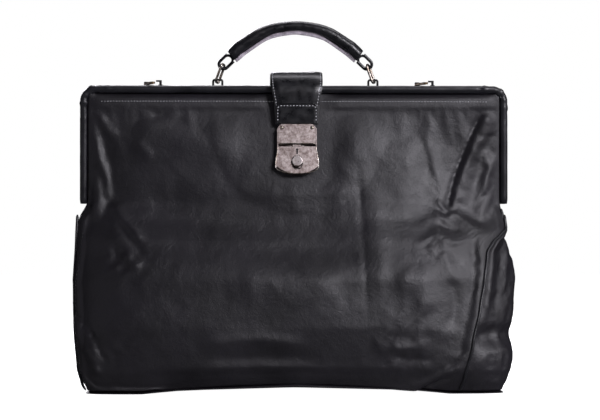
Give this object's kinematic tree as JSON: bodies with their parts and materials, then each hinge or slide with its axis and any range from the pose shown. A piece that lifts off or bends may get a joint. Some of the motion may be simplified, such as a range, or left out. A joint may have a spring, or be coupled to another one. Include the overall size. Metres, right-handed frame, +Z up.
{
  "type": "doctor bag",
  "caption": "Soft black leather doctor bag hung in two hinged jaws, with a strap and lock over the mouth, swing catches and a carrying handle on wire links.",
  "frame": {"origin": "on the ground, under the middle of the bag's own box", "axes": "+X across the bag's width, to the right seen from the front; -Y out of the front; +Z up"},
  "size_m": [0.443, 0.152, 0.3698],
  "materials": {
    "black_leather": "soft sheen",
    "strap_leather": "glossy crinkle grain",
    "jaw_steel": "plain",
    "antique_nickel": "antique, mottled",
    "bronze": "aged",
    "black_metal": "satin",
    "lining_cloth": "matt",
    "fibre_board": "matt"
  },
  "bodies": {
    "root": {"rear_jaw_channel": "jaw_steel", "rear_jaw_cover": "black_leather", "rear_hinge_plates": "jaw_steel", "hinge_pins": "jaw_steel", "front_panel_lower": "black_leather", "front_lining_lower": "lining_cloth", "rear_panel": "black_leather", "rear_lining": "lining_cloth", "gusset_left": "black_leather", "gusset_right": "black_leather", "gusset_lining_left": "lining_cloth", "gusset_lining_right": "lining_cloth", "gusset_fold_left": "black_leather", "gusset_fold_right": "black_leather", "front_seam_welts": "black_leather", "rear_seam_welts": "black_leather", "base_panel": "black_leather", "base_board": "fibre_board", "base_lining": "lining_cloth", "inner_pocket": "lining_cloth", "strap_root": "strap_leather", "strap_anchor_rivets": "black_metal", "handle_staples": "black_metal", "catch_pivot_left": "black_metal", "catch_pivot_right": "black_metal"},
    "front_jaw": {"front_jaw_channel": "jaw_steel", "front_jaw_cover": "black_leather", "front_hinge_plates": "jaw_steel", "front_panel_upper": "black_leather", "front_lining_upper": "lining_cloth", "lock_base": "antique_nickel", "lock_case": "antique_nickel", "lock_back_plate": "jaw_steel", "lock_spring": "jaw_steel", "catch_hook_left": "black_metal", "catch_hook_right": "black_metal"},
    "strap": {"strap_tongue": "strap_leather", "strap_patch": "strap_leather", "hasp_plate": "antique_nickel", "hasp_rivets": "antique_nickel", "hasp_catch": "antique_nickel"},
    "bolt_slide": {"lock_button": "antique_nickel", "lock_bolt": "antique_nickel"},
    "key_plug": {"lock_key_plug": "antique_nickel"},
    "handle": {"handle_grip_cover": "strap_leather", "handle_core": "strap_leather", "link_left": "antique_nickel", "link_right": "antique_nickel"},
    "catch_left": {"catch_lever_left": "bronze"},
    "catch_right": {"catch_lever_right": "bronze"}
  },
  "joints": [
    {"name": "jaw_open", "type": "hinge", "parent": "root", "child": "front_jaw", "pos_m": [0, 0, 0.188], "axis": [1, 0, 0], "range_deg": [0, 35]},
    {"name": "strap_flip", "type": "hinge", "parent": "root", "child": "strap", "pos_m": [0, 0, 0.3162], "axis": [-1, 0, 0], "range_deg": [0, 108.5]},
    {"name": "bolt_slide", "type": "slide", "parent": "front_jaw", "child": "bolt_slide", "axis": [0, -0.2079, -0.9781], "range_m": [0, 0.0025], "stiffness_N_per_m": 200, "deforming": ["lock_spring"]},
    {"name": "key_turn", "type": "hinge", "parent": "front_jaw", "child": "key_plug", "pos_m": [0.002, -0.02424, 0.23604], "axis": [0, -0.9781, 0.2079], "range_deg": [0, 90]},
    {"name": "handle_swing", "type": "hinge", "parent": "root", "child": "handle", "pos_m": [0, 0.007, 0.3105], "axis": [1, 0, 0], "range_deg": [-80, 12]},
    {"name": "catch_left_turn", "type": "hinge", "parent": "root", "child": "catch_left", "pos_m": [-0.148, 0.006, 0.306], "axis": [0, 0, 1], "range_deg": [-60, 32]},
    {"name": "catch_right_turn", "type": "hinge", "parent": "root", "child": "catch_right", "pos_m": [0.124, 0.006, 0.306], "axis": [0, 0, 1], "range_deg": [-60, 32]}
  ],
  "couplings": [
    {"joint": "strap_flip", "follows": "jaw_open", "ratio": 3.1}
  ]
}
